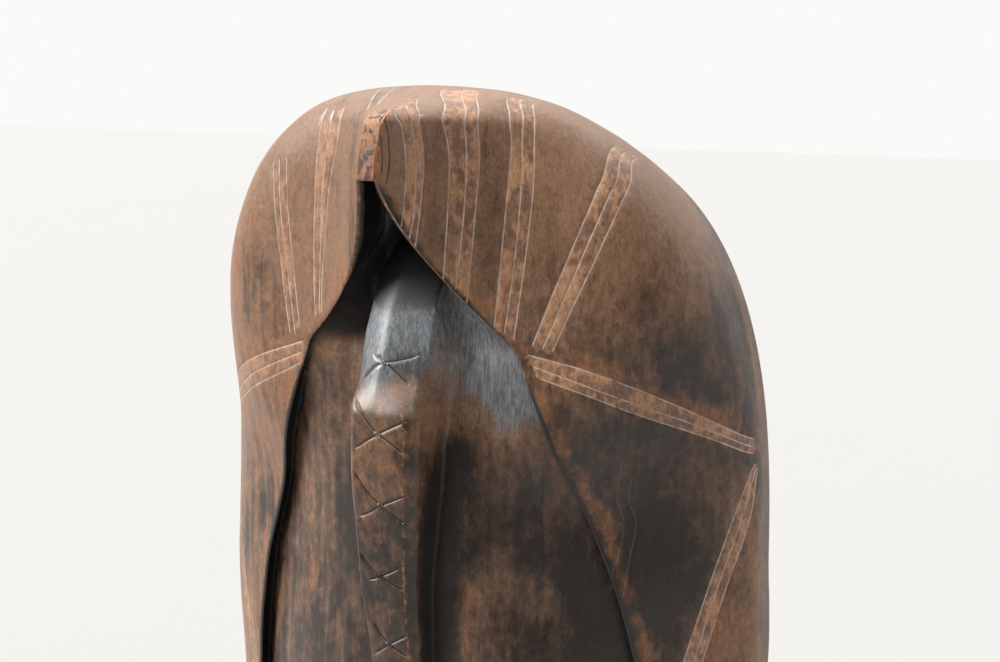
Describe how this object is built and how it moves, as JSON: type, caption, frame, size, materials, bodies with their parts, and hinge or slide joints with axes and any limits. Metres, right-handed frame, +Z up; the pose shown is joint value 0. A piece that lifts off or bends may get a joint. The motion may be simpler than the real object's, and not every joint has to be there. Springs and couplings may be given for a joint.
{
  "type": "carved wooden mask",
  "caption": "Tall carved wooden wall mask: keeled hood parted over a sunk face, long ridged nose, cut zigzag bands, hollow back with a D-ring hanger.",
  "frame": {"origin": "on the flat back rim, above the hanger pocket, on the centre line", "axes": "+X to the viewer's right, +Y into the wall, +Z up"},
  "size_m": [0.2775, 0.1321, 0.5425],
  "materials": {
    "carved_wood": "waxed, dark stained hardwood",
    "hanger_steel": "zinc plated, slightly dull",
    "screw_steel": "yellow zinc plated"
  },
  "bodies": {
    "mask": {"mask_body": "carved_wood", "hanger_plate": "hanger_steel", "hanger_screw_upper": "screw_steel", "hanger_screw_lower": "screw_steel"},
    "ring": {"hanger_ring": "hanger_steel"}
  },
  "joints": [
    {"name": "ring_swing", "type": "hinge", "parent": "mask", "child": "ring", "pos_m": [0, -0.0107, -0.042], "axis": [1, 0, 0], "range_deg": [0, 180]}
  ]
}
